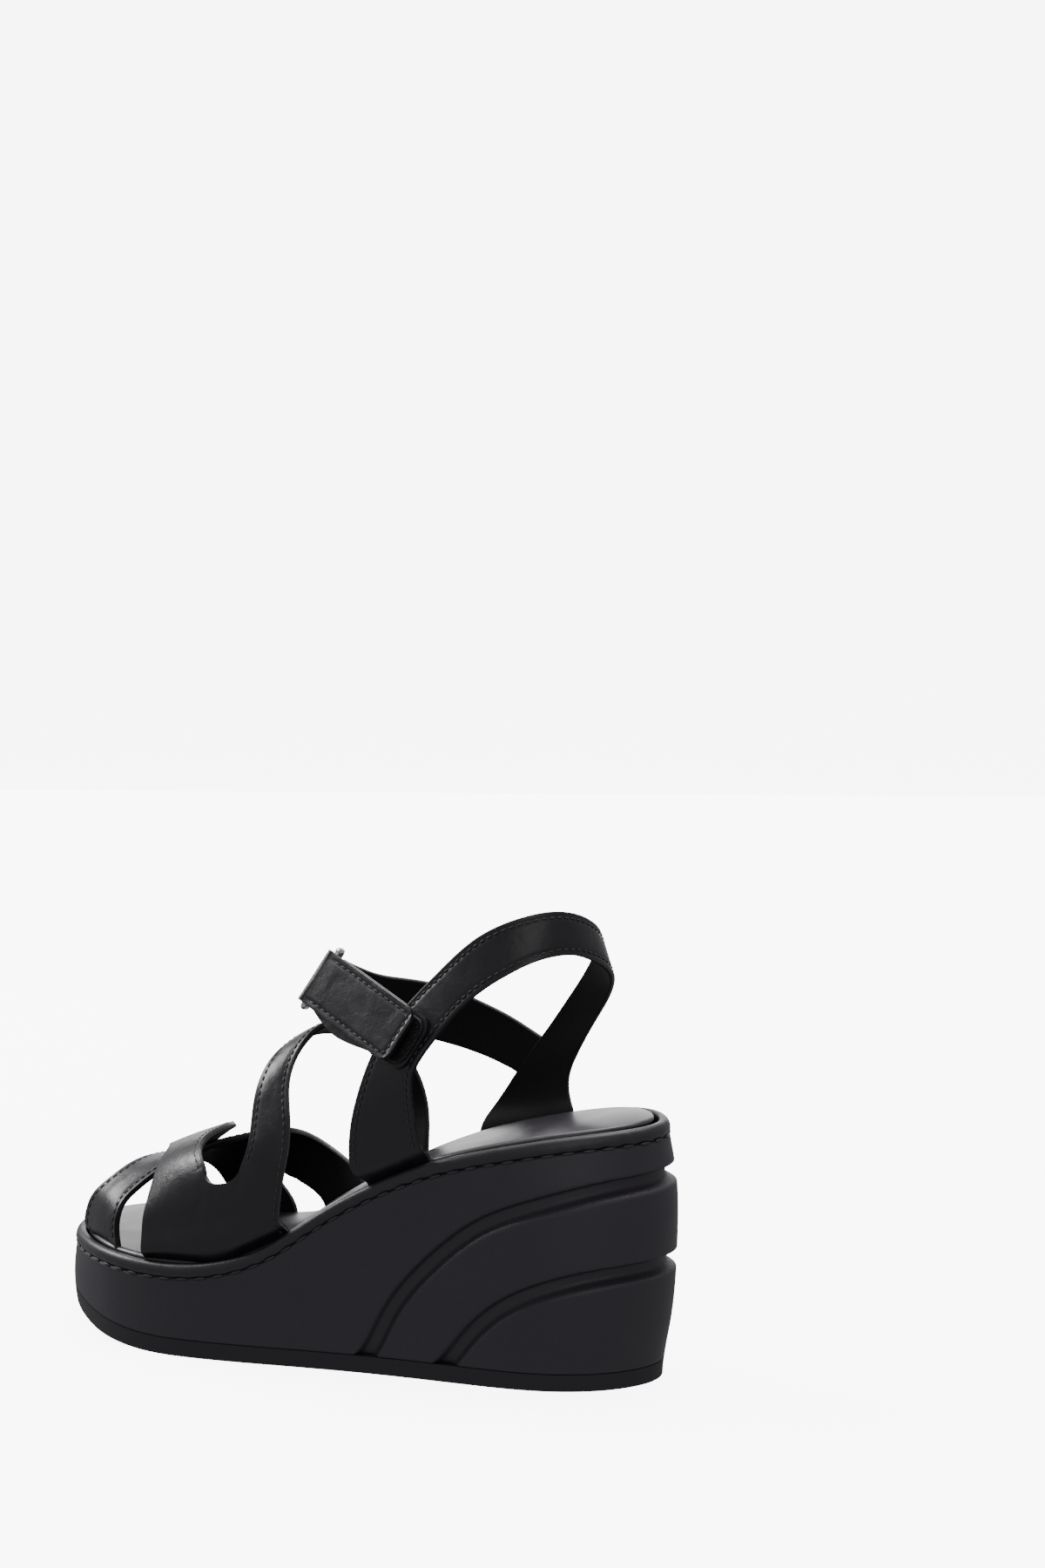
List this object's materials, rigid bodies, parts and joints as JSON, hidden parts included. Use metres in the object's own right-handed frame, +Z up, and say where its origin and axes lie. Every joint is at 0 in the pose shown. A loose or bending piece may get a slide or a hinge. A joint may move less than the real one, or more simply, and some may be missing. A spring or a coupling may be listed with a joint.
{
  "type": "wedge sandal",
  "caption": "Left-foot strappy sandal on a high moulded wedge, with crossing vamp straps, a heel strap and a ring-and-flap closure.",
  "frame": {"origin": "on the ground under the flat of the sole, half way between toe and heel", "axes": "+X towards the heel, -X towards the toe, -Y to the outer side of the foot, +Y to the inner side, +Z up"},
  "size_m": [0.2553, 0.0947, 0.1779],
  "materials": {
    "outsole_rubber": "matte moulded rubber",
    "wedge_cover": "finely pebbled matte moulded foam",
    "rim_leather": "smooth satin leather",
    "thread": "waxed polyester thread",
    "board": "pressed fibre board",
    "shank_steel": "plain spring steel",
    "foam": "open-cell foam",
    "footbed_leather": "polished smooth leather",
    "upper_leather": "shiny coated leather with a soft grain",
    "lining_leather": "matte lining leather",
    "loop_pile": "looped nylon pile",
    "hook_tape": "moulded nylon hooks",
    "ring_metal": "polished nickel-plated wire"
  },
  "bodies": {
    "sandal": {"outsole": "outsole_rubber", "wedge_midsole": "wedge_cover", "leather_rand": "rim_leather", "rim_stitching": "thread", "insole_board": "board", "steel_shank": "shank_steel", "shank_rivets": "shank_steel", "footbed_foam": "foam", "footbed_cover": "footbed_leather", "lateral_vamp": "upper_leather", "lateral_vamp_lining": "lining_leather", "toe_strap": "upper_leather", "toe_strap_lining": "lining_leather", "heel_strap": "upper_leather", "heel_strap_lining": "lining_leather", "instep_strap": "upper_leather", "instep_strap_lining": "lining_leather", "closing_strap_base": "upper_leather", "loop_patch": "loop_pile", "ring_tab": "upper_leather"},
    "ring": {"strap_ring": "ring_metal"},
    "flap": {"closing_flap": "upper_leather", "hook_patch": "hook_tape"}
  },
  "joints": [
    {"name": "ring_hinge", "type": "hinge", "parent": "sandal", "child": "ring", "pos_m": [-0.00654, -0.01634, 0.14522], "axis": [-0.4542, -0.3071, -0.8363], "range_deg": [0, 25]},
    {"name": "flap_hinge", "type": "hinge", "parent": "ring", "child": "flap", "pos_m": [-0.004, -0.0248, 0.14695], "axis": [-0.4542, -0.3071, -0.8363], "range_deg": [0, 140]}
  ]
}
